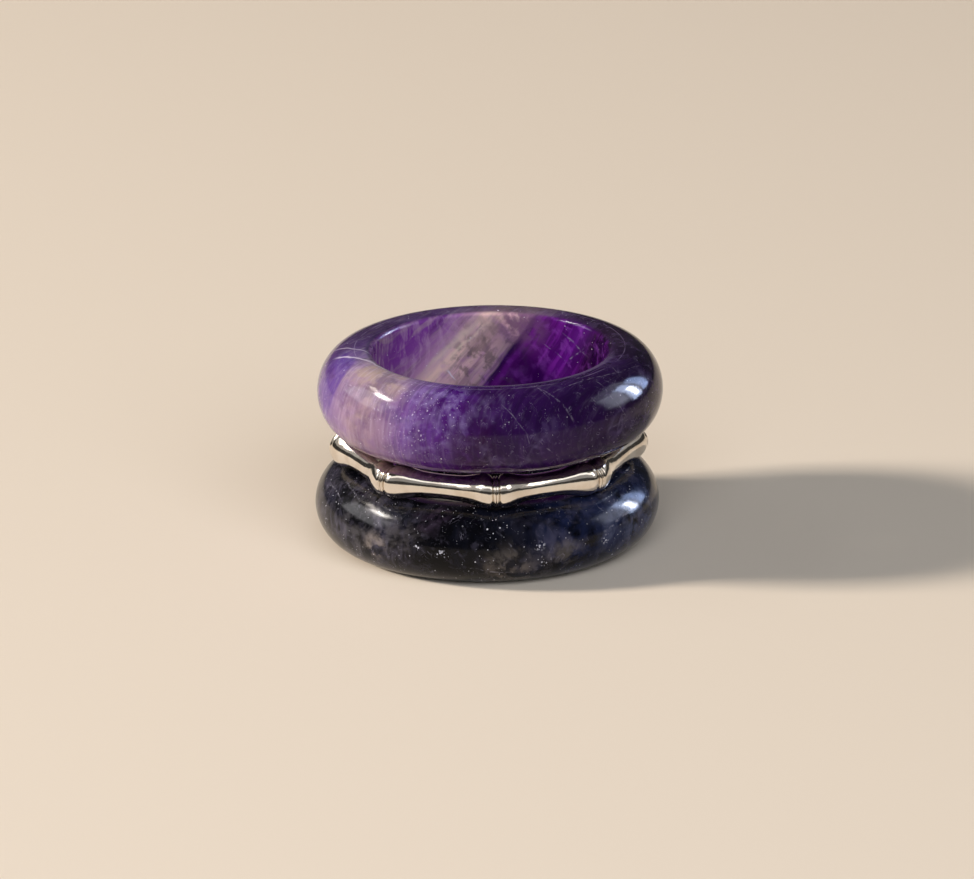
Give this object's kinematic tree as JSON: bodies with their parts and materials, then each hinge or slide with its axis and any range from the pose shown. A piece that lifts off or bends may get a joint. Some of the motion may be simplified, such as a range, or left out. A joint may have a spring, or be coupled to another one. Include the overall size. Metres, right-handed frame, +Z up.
{
  "type": "two-stone ring with bamboo band",
  "caption": "Stacked finger ring: a domed amethyst band over a silver bamboo-pattern band over a domed dark stone band, open through the middle for a finger.",
  "frame": {"origin": "middle of the footprint, on the table, under the finger bore", "axes": "+Z up along the finger bore; the upper stone band is on top; +X to the right of the picture; -Y towards the viewer"},
  "size_m": [0.0256, 0.0252, 0.0145],
  "materials": {
    "amethyst": "polished",
    "silver": "mirror polished silver",
    "dark_stone": "polished"
  },
  "bodies": {
    "root": {"upper_stone_band": "amethyst", "bamboo_band": "silver", "lower_stone_band": "dark_stone"}
  },
  "joints": []
}
